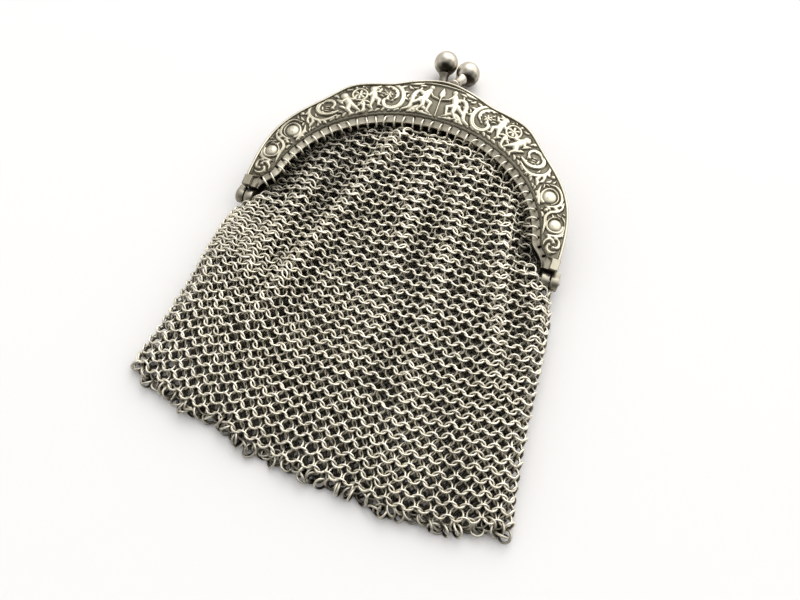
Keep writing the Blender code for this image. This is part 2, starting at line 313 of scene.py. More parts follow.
# even steps along the line of holes: places (n, 2) and unit directions towards the pouch (n, 2)
def holePlaces():
    deg = np.linspace(arch["firstDeg"], 180 - arch["firstDeg"], 1441)
    line = np.stack(archPoint(deg, holeRadius(deg)), -1)
    run = np.concatenate([[0], np.cumsum(np.hypot(*np.diff(line, axis=0).T))])
    want = np.linspace(0, run[-1], arch["holes"])
    at = lambda s: np.stack([np.interp(s, run, line[:, k]) for k in (0, 1)], -1)
    along = unit(at(want + 0.5) - at(want - 0.5))
    return at(want), np.stack([-along[:, 1], along[:, 0]], -1)


holeAt, inward = holePlaces()


def levels(front, height):    # a height over the plane where the half-frames meet
    return midZ + height if front else midZ - height


# Half-frame: bead, wall, seat and flange carried round the arch, with round holes cut in the flange

shell = {
    "stations": 380, "endDeg": -4.2, "wall": 0.55, "beadSoft": 0.32,
    "narrow": (-3.9, 1.6), "lipIn": 0.3, "bendOut": 0.6, "bendIn": 0.9, "lipR": 0.28,
    "drop": 0.85, "dropAt": (-0.2, -0.9), "stop": 1.7, "stopAt": (-2.3, -3.3),
    "holeR": 0.42, "holeSides": 16, "punch": (1.0, 3.1),
}
# in shellTone, all but "metal", "flange" and "lip" are painted shade: in the corner by the facing, round
# the holes and underneath
shellTone = {"metal": 0.68, "flange": 0.30, "cornerShade": 0.3, "hole": 0.12, "lip": 0.3, "under": 0.5}


# radii and heights of the section's points at each angle, from the outer rim over the bead, down to
# the flange, round its lip and back underneath; the bead's crown and the lip are arcs
def shellSection(deg):
    ro, rh = outlineRadius(deg), holeRadius(deg)
    rm = np.minimum(rh + arch["facingInset"], ro - 1.6)
    fromEnd = np.minimum(deg, 180 - deg)
    full = smoothStep(*shell["narrow"], fromEnd)    # the flange narrows into the tab over the hinge
    lip = rh + shell["lipIn"] - (arch["lipOut"] + shell["lipIn"]) * full
    bend = rh + shell["bendOut"] - shell["bendIn"] * full
    w, t, soft = shell["wall"], arch["sheet"] / 2, shell["beadSoft"]
    rim, bead, seat, hole, lipZ = (arch[k] for k in ("rim", "bead", "seat", "holeLevel", "lipLevel"))
    bead = bead - shell["drop"] * smoothStep(*shell["dropAt"], fromEnd)
    rim = rim + shell["stop"] * smoothStep(*shell["stopAt"], fromEnd)    # leaves room for the barrels
    mouth = [(lip + shell["lipR"] * math.cos(a) + 0.1, lipZ + t * 1.25 * math.sin(a))
             for a in np.linspace(math.pi / 2, 3 * math.pi / 2, 7)]
    crown = [(ro - soft + soft * math.cos(a), bead - soft + soft * math.sin(a))
             for a in np.linspace(0.0, math.pi * 0.8, 6)]
    points = [(ro - 0.12, rim), (ro, rim + 0.12), *crown,
              (ro - w + 0.05, np.maximum(bead - 0.42, seat)), (ro - w - 0.1, seat),
              (rm + 0.15, seat), (rm - 0.1, seat - 0.08),
              (bend + 0.65, hole + t + 0.05), (bend, hole + t - 0.1), *mouth,
              (bend, hole - t - 0.1), (rm, seat - 2 * t), (ro - w, seat - 2 * t), (ro - w, rim)]
    return [np.stack([np.broadcast_to(p[k], deg.shape) for p in points], -1) for k in (0, 1)]


# the section at every station round the arch, capped at both ends, less the punch
def halfShell(front):
    word = wordFor(front)
    deg = np.linspace(shell["endDeg"], 180 - shell["endDeg"], shell["stations"])
    radii, heights = shellSection(deg)
    x, y = archPoint(deg[:, None], radii)
    points = np.stack([x, y, levels(front, heights)], -1)
    rows, cols = x.shape
    faces = [tuple(f) for f in gridFaces(rows, cols, loopCols=True)]
    faces += [tuple(range(cols)), tuple(range(rows * cols - cols, rows * cols))]
    mesh = bpy.data.meshes.new(word + "Blank")
    mesh.from_pydata((points.reshape(-1, 3) * mm).tolist(), [], faces)
    work = bmesh.new()
    work.from_mesh(mesh)
    bmesh.ops.recalc_face_normals(work, faces=work.faces)
    work.to_mesh(mesh)
    work.free()
    blank = bpy.data.objects.new(word + "Blank", mesh)
    bpy.context.scene.collection.objects.link(blank)
    punch = punchFor(front)
    cutter = blank.modifiers.new("holes", "BOOLEAN")
    cutter.operation, cutter.solver, cutter.object = "DIFFERENCE", "EXACT", punch
    bpy.context.view_layer.update()
    graph = bpy.context.evaluated_depsgraph_get()
    cut = bpy.data.meshes.new_from_object(blank.evaluated_get(graph))
    bpy.data.objects.remove(blank)
    bpy.data.objects.remove(punch)
    cut.name = word + "HalfShell"
    place = np.zeros(len(cut.vertices) * 3)
    cut.vertices.foreach_get("co", place)
    wear = shellWearAndShade(place.reshape(-1, 3) / mm, front)
    finishPiece(word + "HalfShell", cut, plainMetal, word + "_half",
                (word + "_channel",), wear, 0.5, 32.0)


# a short round rod through the flange at every hole
def punchFor(front):
    turn = np.linspace(0, 2 * math.pi, shell["holeSides"], endpoint=False)
    ring = np.stack([np.cos(turn), np.sin(turn)], -1) * shell["holeR"]
    work = bmesh.new()
    for place in holeAt:
        low, high = ([work.verts.new((*(place + p) * mm, levels(front, h) * mm)) for p in ring]
                     for h in shell["punch"])
        work.faces.new(low)
        work.faces.new(high)
        for k in range(len(low)):
            n = (k + 1) % len(low)
            work.faces.new((low[k], low[n], high[n], high[k]))
    bmesh.ops.recalc_face_normals(work, faces=work.faces)
    mesh = bpy.data.meshes.new("punch")
    work.to_mesh(mesh)
    work.free()
    punch = bpy.data.objects.new("punch", mesh)
    bpy.context.scene.collection.objects.link(punch)
    return punch


# bright on the bead and the lip; painted shade round the holes, underneath and where the flange meets the
# facing
def shellWearAndShade(place, front):
    height = (place[:, 2] - midZ) * (1 if front else -1)
    away = np.hypot(place[:, 0], place[:, 1] - arch["middleY"])
    deg = np.degrees(np.arctan2(place[:, 1] - arch["middleY"], place[:, 0]))
    deg = np.where(deg < -90, deg + 360, deg)
    inner = away - holeRadius(deg)
    near = np.min(np.hypot(place[:, None, 0] - holeAt[:, 0], place[:, None, 1] - holeAt[:, 1]), axis=1)
    cornerShade = smoothStep(0.15, 0.6, inner) * smoothStep(3.05, 2.4, height)
    wear = shellTone["metal"] - shellTone["flange"] * smoothStep(1.2, 0.6, inner)
    wear = wear - shellTone["cornerShade"] * cornerShade
    wear = wear - shellTone["hole"] * smoothStep(0.75, 0.45, near) * (inner < 0.7)
    wear = wear + shellTone["lip"] * smoothStep(-0.8, -1.15, inner)
    wear = wear - shellTone["under"] * smoothStep(1.9, 0.4, height)
    return np.clip(wear, 0, 1)


# Ornament, drawn on the facing unrolled: x in millimetres along the arch from the hinge and y the radius.
# A stroke is ((line, half width at each point), height of its ridge, whether it is ribbed).

unroll = 0.646    # millimetres along the arch for each degree


# a smooth curve through the points (Catmull-Rom), widest at "swell" of its length and tapering to the tip
def vine(points, wide, tip=0.12, swell=0.35, bulb=0.0, ribbed=False, height=0.95):
    p = np.array(points, float)
    p = np.concatenate([[2 * p[0] - p[1]], p, [2 * p[-1] - p[-2]]])
    t = np.linspace(0, 1, 9)[:-1, None]
    runs = [0.5 * (2 * b + (c - a) * t + (2 * a - 5 * b + 4 * c - d) * t ** 2
                   + (3 * b - 3 * c + d - a) * t ** 3)
            for a, b, c, d in zip(p[:-3], p[1:-2], p[2:-1], p[3:])]
    line = np.concatenate([*runs, p[-2:-1]])
    s = np.linspace(0, 1, len(line))
    rise = np.where(s < swell, s / swell, (1 - s) / (1 - swell))
    half = tip + (wide - tip) * np.sin(rise * math.pi / 2) ** 0.8
    return [((line, half), height, ribbed)] + (pearl(*line[-1], bulb, height + 0.05) if bulb else [])


def arc(x, y, radius, first, last, half, height=0.95):
    turn = np.radians(np.linspace(first, last, 34))
    line = np.stack([x + radius * np.cos(turn), y + radius * np.sin(turn)], -1)
    return [((line, half * np.ones(len(turn))), height, False)]


# a straight stroke from a to b, with its half width at each of them
def limb(a, b, first, last, height):
    return [((np.array([a, b], float), np.array([first, last], float)), height, False)]


# a round knob, which is a stroke of almost no length
def pearl(x, y, radius, height=1.0):
    line = np.array([(x, y), (x, y)], float) + [[0, 0], [1e-4, 0]]
    return [((line, np.array([radius, radius])), height, False)]


# an almond leaf with a bend in it
def leaf(x, y, heading, length, wide=0.3):
    c, s = math.cos(math.radians(heading)), math.sin(math.radians(heading))
    middle = (x + length * (0.5 * c - 0.12 * s), y + length * (0.5 * s + 0.12 * c))
    return vine([(x, y), middle, (x + length * c, y + length * s)], wide, 0.06, 0.5, height=0.8)


def leaves(*rows):
    return [stroke for row in rows for stroke in leaf(*row)]


# a curling stem with leaf lobes along one side of it, the longest about its middle
def acanthus(points, wide, tip, lobes, hand, length, bulb=0.0):
    out = vine(points, wide, tip, 0.45, bulb, ribbed=True)
    line = out[0][0][0]
    for k in range(lobes):
        at = int((0.06 + 0.78 * k / lobes) * (len(line) - 2))
        run = line[at + 1] - line[at]
        heading = math.degrees(math.atan2(run[1], run[0])) + hand * (38 + 6 * math.sin(k * 2.3))
        reach = length * (0.55 + 0.45 * math.sin(math.pi * (0.2 + 0.7 * k / lobes)))
        out += leaf(line[at, 0], line[at, 1], heading, reach, 0.3 * reach ** 0.7)
    return out


# three commas that turn about one point
def whirl(x, y, size):
    out = []
    for start in (20, 140, 260):
        a = math.radians(start)
        spiral = ((0.0, 0.93), (0.6, 0.9), (1.25, 0.78), (1.75, 0.56), (2.2, 0.34))
        points = [(x + away * size * math.cos(a + turn), y + away * size * math.sin(a + turn))
                  for turn, away in spiral]
        out += vine(points, 0.17 * size, 0.04 * size, 0.55, 0.17 * size)
    return out


# a domed boss with three small bumps, in a loop that thins towards its end
def boss(x, y, radius, loop, opening):
    ((line, half), height, ribbed), = arc(x, y, loop, opening, opening + 300, 0.3, 0.9)
    out = pearl(x, y, radius) + [((line, half * np.linspace(1.15, 0.35, len(half))), height, ribbed)]
    for k in range(3):
        c, s = 0.42 * radius * math.cos(2.1 * k), 0.42 * radius * math.sin(2.1 * k)
        out += pearl(x + c, y + s, 0.24 * radius, 1.1)
    return out


def rosette(x, y, radius):
    out = pearl(x, y, 0.3 * radius)
    for k in range(6):
        c, s = math.cos(math.radians(60 * k)), math.sin(math.radians(60 * k))
        root, end = ((x + away * radius * c, y + away * radius * s) for away in (0.42, 0.8))
        out += limb(root, end, 0.17 * radius, 0.27 * radius, 0.8)
    return out


# a plain little figure, one arm up and one out; its head is a bare round knob
def dancer(x, y, size, lean):
    place = lambda u, v: (x + lean * u * size, y + v * size)
    bones = (((0.0, 0.62), (0.08, 0.05), 0.24, 0.22), ((0.02, 0.62), (-0.42, 0.50), 0.12, 0.10),
             ((-0.42, 0.50), (-0.66, 0.78), 0.10, 0.08), ((0.08, 0.60), (0.46, 0.34), 0.12, 0.10),
             ((0.46, 0.34), (0.66, 0.48), 0.10, 0.08), ((0.02, 0.02), (-0.30, -0.28), 0.20, 0.15),
             ((-0.30, -0.28), (-0.14, -0.72), 0.14, 0.10), ((0.16, 0.0), (0.34, -0.34), 0.19, 0.14),
             ((0.34, -0.34), (0.56, -0.70), 0.13, 0.09), ((-0.14, -0.74), (-0.34, -0.82), 0.10, 0.07))
    out = []
    for a, b, wideA, wideB in bones:
        out += limb(place(*a), place(*b), wideA * size, wideB * size, 0.95)
    return out + pearl(*place(-0.05, 0.98), 0.24 * size, 1.05)


def sideOrnament():
    out = whirl(3.0, 38.25, 2.2)
    # scrolls that wind about the two bosses
    out += boss(8.2, 38.6, 1.15, 2.0, 100)
    out += acanthus([(5.6, 36.6), (5.3, 38.4), (5.7, 40.0), (6.9, 41.0), (8.9, 41.2), (10.4, 40.4)],
                    0.36, 0.12, 4, 1, 1.5)
    out += vine([(5.4, 35.6), (7.0, 35.9), (8.9, 36.2), (10.6, 36.4), (11.6, 37.6), (11.7, 39.2),
                 (12.5, 40.6), (14.0, 41.3)], 0.36, 0.12, 0.5, ribbed=True)
    out += leaves((11.2, 40.6, 100, 1.3), (11.0, 38.0, 150, 1.2, 0.26), (10.6, 35.6, -8, 1.6, 0.32))
    out += pearl(12.4, 36.6, 0.42, 0.9) + pearl(12.9, 35.6, 0.26, 0.8)
    out += boss(15.8, 38.0, 1.25, 2.15, -120)
    out += acanthus([(13.4, 36.6), (13.0, 38.2), (13.3, 39.8), (14.6, 40.9), (16.6, 41.1), (18.2, 40.4),
                     (19.0, 38.9)], 0.34, 0.12, 5, 1, 1.5)
    out += acanthus([(14.2, 35.2), (16.0, 35.3), (17.8, 35.6), (19.2, 36.6)], 0.36, 0.12, 3, -1, 1.3)
    # leaves and a pearl
    out += leaves((18.6, 41.6, -4, 1.9, 0.34), (20.2, 36.4, 62, 2.0, 0.36), (19.9, 38.0, 82, 1.7),
                  (19.6, 35.6, 12, 2.3, 0.38))
    out += pearl(20.9, 40.5, 0.5)
    # the big acanthus whorl
    out += acanthus([(25.9, 41.3), (23.7, 41.0), (22.2, 39.4), (22.0, 37.4), (23.2, 35.5), (25.4, 34.6),
                     (28.0, 34.5)], 0.42, 0.12, 7, -1, 1.7)
    out += acanthus([(28.9, 35.4), (26.6, 35.7), (24.9, 36.9), (24.5, 38.6), (25.4, 40.0), (27.2, 40.4),
                     (28.9, 39.5), (29.2, 37.9), (28.0, 37.0)], 0.5, 0.22, 5, -1, 1.2, 0.46)
    out += acanthus([(26.8, 41.8), (29.0, 41.7), (30.5, 40.6), (30.9, 39.2)], 0.38, 0.12, 3, -1, 1.2)
    out += leaves((29.8, 36.6, -50, 1.9, 0.4), (30.3, 38.2, -62, 1.6, 0.32))
    # a ring of flowers between two little figures
    out += arc(36.3, 38.2, 1.95, 0, 360, 0.27) + rosette(36.3, 38.2, 1.4)
    out += dancer(32.6, 36.0, 3.5, 1) + dancer(40.0, 36.2, 3.3, -1)
    out += leaves((35.0, 40.6, 150, 1.8), (37.4, 40.6, 30, 1.8), (36.2, 40.5, 90, 1.3, 0.42),
                  (36.2, 35.9, -150, 2.2, 0.36), (36.4, 35.9, -30, 2.2, 0.36), (36.3, 36.0, -90, 1.9, 0.4))
    out += vine([(35.0, 35.6), (36.2, 34.6), (35.6, 33.2), (34.3, 32.9)], 0.4, 0.2)
    out += leaf(37.0, 34.6, -50, 2.4, 0.4)
    # the shell scroll with its rosette and fanned leaves
    out += vine([(42.6, 41.2), (44.6, 40.8), (46.6, 39.4), (47.7, 37.4), (47.8, 35.0), (46.5, 33.0),
                 (44.3, 32.4), (42.4, 33.2), (42.2, 34.8), (43.3, 35.3)], 0.52, 0.3, 0.55, 0.5, ribbed=True)
    out += acanthus([(43.2, 39.8), (45.0, 39.2), (46.2, 37.6), (46.2, 35.9), (45.2, 35.0)],
                    0.4, 0.14, 4, -1, 1.2)
    out += rosette(43.9, 36.6, 1.1)
    out += leaves((44.2, 40.9, 62, 1.9, 0.36), (45.9, 40.0, 40, 1.9, 0.36), (47.0, 38.7, 22, 1.9, 0.36),
                  (47.6, 37.0, 4, 1.9, 0.36), (47.4, 35.2, -16, 1.9, 0.36), (42.3, 40.2, 190, 1.7, 0.32),
                  (41.9, 38.6, 130, 1.3, 0.26))
    # the last scroll, beside the seated figures
    out += vine([(47.4, 31.9), (49.4, 32.6), (50.3, 34.4), (50.6, 36.4), (51.8, 37.9), (53.3, 37.5),
                 (53.4, 36.1), (52.5, 35.7)], 0.52, 0.28, 0.45, 0.42)
    out += vine([(49.8, 31.6), (51.6, 32.8), (53.6, 33.0), (55.4, 32.0)], 0.5, 0.3, height=0.55)
    out += leaves((50.6, 34.2, 12, 2.2, 0.42), (50.4, 38.4, 130, 1.7, 0.34), (52.0, 39.6, 10, 1.8, 0.34))
    out += vine([(48.4, 41.4), (50.0, 40.5), (52.0, 40.6), (53.2, 41.6)], 0.4, 0.12, 0.5, ribbed=True)
    out += leaves((46.6, 41.2, 6, 1.8), (50.6, 41.8, 8, 2.0))
    return out


# low leaves in a running row just above the facing's inner edge
def edgeOrnament():
    out = []
    for k in range(17):
        x = 21.5 + 1.95 * k
        y = float(holeRadius(np.array(x / unroll)) + arch["facingInset"]) + 0.75
        (shape, height, ribbed), = leaf(x, y, 14 + 12 * math.sin(k * 2.1), 1.75, 0.34)
        out.append((shape, 0.55, ribbed))
    return out


filler = {"gap": 0.46, "longest": 2.0, "widest": 0.34, "step": 0.45, "alongX": (5.0, 53.0),
          "alongY": (34.6, 42.6), "inside": 1.3, "outside": 1.1, "stray": 0.15, "turn": 30}


# small leaves wherever a grid of spots leaves the ground bare, each turned like the stroke nearest to it
def fillerLeaves(strokes):
    out = []
    lines = [(line, half * facing["stout"]) for (line, half), height, ribbed in strokes]
    a, b = (np.concatenate([line[k:len(line) - 1 + k] for line, half in lines]) for k in (0, 1))
    wide = np.concatenate([(half[:-1] + half[1:]) / 2 for line, half in lines])
    for x in np.arange(*filler["alongX"], filler["step"]):
        low = float(holeRadius(np.array(x / unroll))) + filler["inside"]
        high = float(outlineRadius(np.array(x / unroll))) - filler["outside"]
        for y in np.arange(*filler["alongY"], filler["step"]):
            if not low < y < high:
                continue
            spot = np.array([x, y]) + rng.uniform(-filler["stray"], filler["stray"], 2)
            span = b - a
            t = np.clip(((spot - a) * span).sum(1) / np.maximum((span ** 2).sum(1), 1e-9), 0, 1)
            gap = np.hypot(*(spot - a - t[:, None] * span).T) - wide
            if gap.min() < filler["gap"]:
                continue
            k = gap.argmin()
            heading = math.degrees(math.atan2(span[k, 1], span[k, 0]))
            heading = heading + rng.uniform(-filler["turn"], filler["turn"])
            room = min(float(gap.min()) * 2.2, filler["longest"])
            turn = math.radians(heading)
            root = (spot[0] - room / 2 * math.cos(turn), spot[1] - room / 2 * math.sin(turn))
            new = leaf(*root, heading, room, min(float(gap.min()) * 0.42, filler["widest"]))
            out += new
            for (line, half), height, ribbed in new:
                a, b = np.concatenate([a, line[:-1]]), np.concatenate([b, line[1:]])
                wide = np.concatenate([wide, (half[:-1] + half[1:]) / 2 * facing["stout"]])
    return out


# in plain x and y: an arched border over a leafy staff between two seated figures that mirror each other
def crownOrnament():
    out = arc(0, 0, 41.2, 80, 100, 0.3, 0.8) + limb((0, 31.0), (0, 37.4), 0.24, 0.2, 0.85)
    flame = np.array([[0, 36.9], [0, 37.9], [0, 38.7], [0, 40.1]])
    out.append(((flame, np.array([0.3, 1.0, 0.85, 0.15])), 0.95, True))
    bones = (((3.55, 38.3), (4.2, 35.6), 0.95, 1.05), ((3.3, 38.1), (2.2, 36.7), 0.44, 0.38),
             ((2.2, 36.7), (0.5, 36.2), 0.36, 0.28), ((4.1, 38.0), (5.3, 36.6), 0.42, 0.34),
             ((4.1, 35.2), (2.3, 34.5), 0.9, 0.72), ((2.3, 34.5), (2.7, 31.9), 0.6, 0.42),
             ((4.5, 35.0), (4.2, 33.4), 0.95, 0.72), ((4.2, 33.4), (5.3, 31.6), 0.6, 0.4),
             ((2.7, 31.8), (1.7, 31.4), 0.4, 0.3), ((5.4, 31.5), (4.4, 31.1), 0.38, 0.3),
             ((5.0, 35.2), (7.2, 32.9), 0.85, 0.4))
    for side in (-1, 1):
        place = lambda x, y: (side * x, y)
        for a, b, wideA, wideB in bones:
            out += limb(place(*a), place(*b), wideA, wideB, 1.0)
        out += pearl(*place(3.25, 39.6), 0.9, 1.05)
        out += limb(place(1.0, 31.0), place(6.6, 31.4), 0.35, 0.55, 0.55)
        out += limb(place(5.9, 38.6), place(6.5, 36.8), 0.4, 0.2, 0.8)
        out += limb(place(6.6, 35.6), place(7.9, 34.2), 0.34, 0.5, 0.7)
    return out


# every stroke of the facing in plain x and y about the arch's middle, the side ornament on both sides
def allStrokes():
    out = crownOrnament()
    side = sideOrnament() + edgeOrnament()
    for (line, half), height, ribbed in side + fillerLeaves(side):
        turn = np.radians(line[:, 0] / unroll)
        placed = np.stack([np.cos(turn), np.sin(turn)], -1) * line[:, 1:]
        half = half * facing["stout"]
        out += [((placed, half), height, ribbed), ((placed * [-1, 1], half), height, ribbed)]
    return out


facing = {
    "stations": 900, "across": 86, "endDeg": -4.3, "inset": 0.57, "stout": 1.5,
    "ground": 2.58, "dome": 0.60, "relief": 0.57, "edge": 0.4, "outerEdge": 0.3, "edgeWide": 0.13,
    "innerFillet": 0.42, "outerFillet": 0.5, "filletWide": 0.3,
    "plainFrom": 0.3, "plainTo": -0.5, "flat": 0.75, "tab": 0.8, "tabIn": 1.2,
    "groundWear": 0.24, "hollowWear": 0.5, "plainDull": 0.4, "leftSideShade": 0.22, "leftSideShadeX": (-12, -34),
}
strokes = allStrokes()


# height of the relief over the ground, 0 to 1: at each point the tallest stroke's rounded ridge
def reliefAt(x, y):
    relief = np.zeros(x.shape)
    for (line, half), height, ribbed in strokes:
        reach = half.max()
        low, high = line.min(0) - reach, line.max(0) + reach
        near = np.nonzero((x > low[0]) & (x < high[0]) & (y > low[1]) & (y < high[1]))
        if not len(near[0]):
            continue
        p = np.stack([x[near], y[near]], -1)[:, None, :]
        a, b = line[:-1], line[1:]
        span = b - a
        t = np.clip(((p - a) * span).sum(-1) / np.maximum((span ** 2).sum(-1), 1e-9), 0, 1)
        away = np.linalg.norm(p - a - t[..., None] * span, axis=-1)
        wide = half[:-1] + (half[1:] - half[:-1]) * t
        share = np.min(away / wide, axis=1)
        ridge = height * np.clip(1 - share ** 2, 0, 1) ** 0.7
        if ribbed:
            ridge = ridge * (0.74 + 0.26 * smoothStep(0.0, 0.4, share))
        relief[near] = np.maximum(relief[near], ridge)
    return relief


# a grid from the outer edge to the inner: its height is the ground, a low dome and the relief on it,
# less a tuck at either edge; beside the hinges it ends in a plain tab
def embossedFacing(front):
    deg = np.linspace(facing["endDeg"], 180 - facing["endDeg"], facing["stations"])
    fromEnd = np.minimum(deg, 180 - deg)
    plain = smoothStep(facing["plainFrom"], facing["plainTo"], fromEnd)
    ro = outlineRadius(deg) - facing["inset"] + facing["tab"] * plain
    rm = np.minimum(holeRadius(deg) + arch["facingInset"], ro - 0.9) + facing["tabIn"] * plain
    w = np.linspace(0, 1, facing["across"])
    radius = ro[:, None] + (rm - ro)[:, None] * w
    x, y = archPoint(deg[:, None], radius)
    plain = plain[:, None]
    relief = reliefAt(x, y - arch["middleY"])
    edgeIn, edgeOut = np.abs(radius - rm[:, None]), np.abs(radius - ro[:, None])
    fillet = (facing["innerFillet"] * bell(edgeIn, facing["filletWide"])
              + facing["outerFillet"] * bell(edgeOut, facing["filletWide"]))
    relief = np.maximum(relief, fillet) * (1 - plain) + facing["flat"] * plain
    dome = facing["dome"] * (np.sin(math.pi * w) ** 0.7 * (1 - plain) + facing["flat"] * plain)
    tuck = facing["edge"] * (bell(edgeIn, facing["edgeWide"])
                             + facing["outerEdge"] * bell(edgeOut, facing["edgeWide"]))
    height = facing["ground"] + dome + facing["relief"] * relief - tuck
    top = np.stack([x, y, levels(front, height)], -1)
    rows, cols = x.shape
    outer, inner = top[:, 0].copy(), top[:, -1].copy()
    outer[:, 2] = inner[:, 2] = levels(front, arch["seat"] + 0.1)
    points = np.concatenate([outer[:, None], top, inner[:, None]], 1)
    wear = facingWearAndShade(relief, plain, x)
    wear = np.concatenate([wear[:, :1], wear, wear[:, -1:]], 1)
    word = wordFor(front)
    newPiece(word + "Facing", points, tubeFaces(rows, cols + 2), embossedMetal, word + "_half",
             (word + "_facing",), wear)


# bright on the ridges, dark on the ground, and darkest where a point lies below the mean about it; the left
# part is painted darker as painted shade
def facingWearAndShade(relief, plain, x):
    around = relief
    for step in range(6):
        around = (around + np.roll(around, 1, 0) + np.roll(around, -1, 0) + np.roll(around, 2, 1)
                  + np.roll(around, -2, 1)) / 5
    hollow = np.clip(around - relief, 0, 0.4)
    wear = facing["groundWear"] + (1 - facing["groundWear"]) * smoothStep(0.05, 0.8, relief)
    wear = wear - facing["hollowWear"] * hollow
    wear = wear * (1 - facing["plainDull"] * plain)
    return np.clip(wear * (1 - facing["leftSideShade"] * smoothStep(*facing["leftSideShadeX"], x)), 0, 1)


for front in (True, False):
    halfShell(front)
    embossedFacing(front)
print("half-frames made")


# Hinges: a barrel with a rounded edge and a bored middle, its profile carried along the hinge axis

hinge = {
    "r": 2.0, "bore": 0.74, "pin": 0.66, "inner": (37.9, 39.9), "outer": (40.2, 42.2),
    "pinSpan": (37.6, 42.5), "pinSides": 24, "soft": 0.22, "points": 64,
    "armEnd": 2.3, "armLow": 0.35, "armTop": 1.3, "armPoints": 6, "from": 55, "to": 370,
    "wear": 0.44, "underShade": 0.2, "boreShade": 0.2,
}


# a profile of (height, radius) pairs turned about the Z axis
def turned(profile, sides):
    profile = np.array(profile, float)
    turn = np.linspace(0, 2 * math.pi, sides, endpoint=False)
    return np.stack([profile[:, 1:] * np.cos(turn), profile[:, 1:] * np.sin(turn),
                     np.broadcast_to(profile[:, :1], (len(profile), sides))], -1)


# the profile is most of a circle and a short arm's end; it shrinks towards its middle at either face
def barrel(front, side):
    n, r, soft = hinge["points"], hinge["r"], hinge["soft"]
    first, last = hinge["outer"] if front else hinge["inner"]
    sweep = np.radians(np.linspace(hinge["from"], hinge["to"], n - hinge["armPoints"]))
    arm = np.linspace(hinge["armLow"], hinge["armTop"], hinge["armPoints"])
    y = np.concatenate([r * np.cos(sweep), np.full(len(arm), hinge["armEnd"])])
    z = np.concatenate([r * np.sin(sweep), arm])
    hole = np.radians(np.linspace(90, 450, n, endpoint=False))
    cy, cz = y.mean(), z.mean()
    loops = []
    for x, inset in ((first, 1), (first + soft * 0.3, 0.35), (first + soft, 0),
                     (last - soft, 0), (last - soft * 0.3, 0.35), (last, 1)):
        shrink = 1 - inset * soft / r
        loops.append((x, cy + (y - cy) * shrink, cz + (z - cz) * shrink))
    outside = len(loops)
    loops += [(x, hinge["bore"] * np.cos(hole), hinge["bore"] * np.sin(hole)) for x in (last, first)]
    points = np.stack([np.stack([np.full(n, side * x), yy, levels(front, zz)], -1) for x, yy, zz in loops])
    # painted shade: darker on each barrel's lower half and inside its bore
    wear = hinge["wear"] - hinge["underShade"] * (points[..., 2] < midZ)
    wear = wear - hinge["boreShade"] * (np.arange(len(loops)) >= outside)[:, None]
    word, hand = wordFor(front), "Left" if side < 0 else "Right"
    newPiece(word + "Barrel" + hand, points, gridFaces(len(loops), n, loopRows=True, loopCols=True),
             plainMetal, word + "_half", (word + "_knuckle_" + hand.lower(),),
             wear, 0.6, 30.0)


# a turned profile laid along the hinge: two low domed heads on a plain rod
def pin(side):
    a, b = hinge["pinSpan"]
    r, sides = hinge["pin"], hinge["pinSides"]
    profile = [(a - 0.12, 0.001), (a - 0.1, 0.3), (a - 0.02, 0.5), (a + 0.12, r),
               (b - 0.12, r), (b + 0.02, 0.5), (b + 0.1, 0.3), (b + 0.12, 0.001)]
    points = turned(profile, sides)
    points = np.stack([side * points[..., 2], points[..., 0], midZ + points[..., 1]], -1)
    hand = "Left" if side < 0 else "Right"
    newPiece("hingePin" + hand, points, tubeFaces(len(profile), sides), plainMetal, "back_half",
             ("hinge_pin_" + hand.lower(),), np.full((len(profile), sides), 0.7), 0.4, 35.0)


for side in (-1, 1):
    for front in (True, False):
        barrel(front, side)
    pin(side)
print("hinges made")


# Kiss-lock: each ball and its stem are turned about their own leaning axis

lock = {
    "sides": 64, "rings": 40, "swell": 1.045, "flat": 0.985, "stemSides": 40, "stemR": (1.75, 1.2, 1.55),
    "footX": 1.75, "footUp": 0.45, "footFront": 5.7, "footBack": 2.2, "enter": 0.12,
    "wear": 0.84, "frontStemWear": 0.7, "backStemWear": 0.3,
    "patinaAndReflectionTo": (0.28, -0.78, 0.55), "underTo": (0.2, -0.97, 0.05),    # where the dark patches face: patina with a painted reflection of the bag and of somebody over the table
}


# points about the Z axis moved to start and leant over to the direction
def leaning(points, start, direction):
    axis = unit(np.array(direction))
    side = unit(np.cross(axis, [1.0, 0.0, 0.0]))
    other = np.cross(axis, side)
    return np.array(start) + points[..., :1] * side + points[..., 1:2] * other + points[..., 2:] * axis


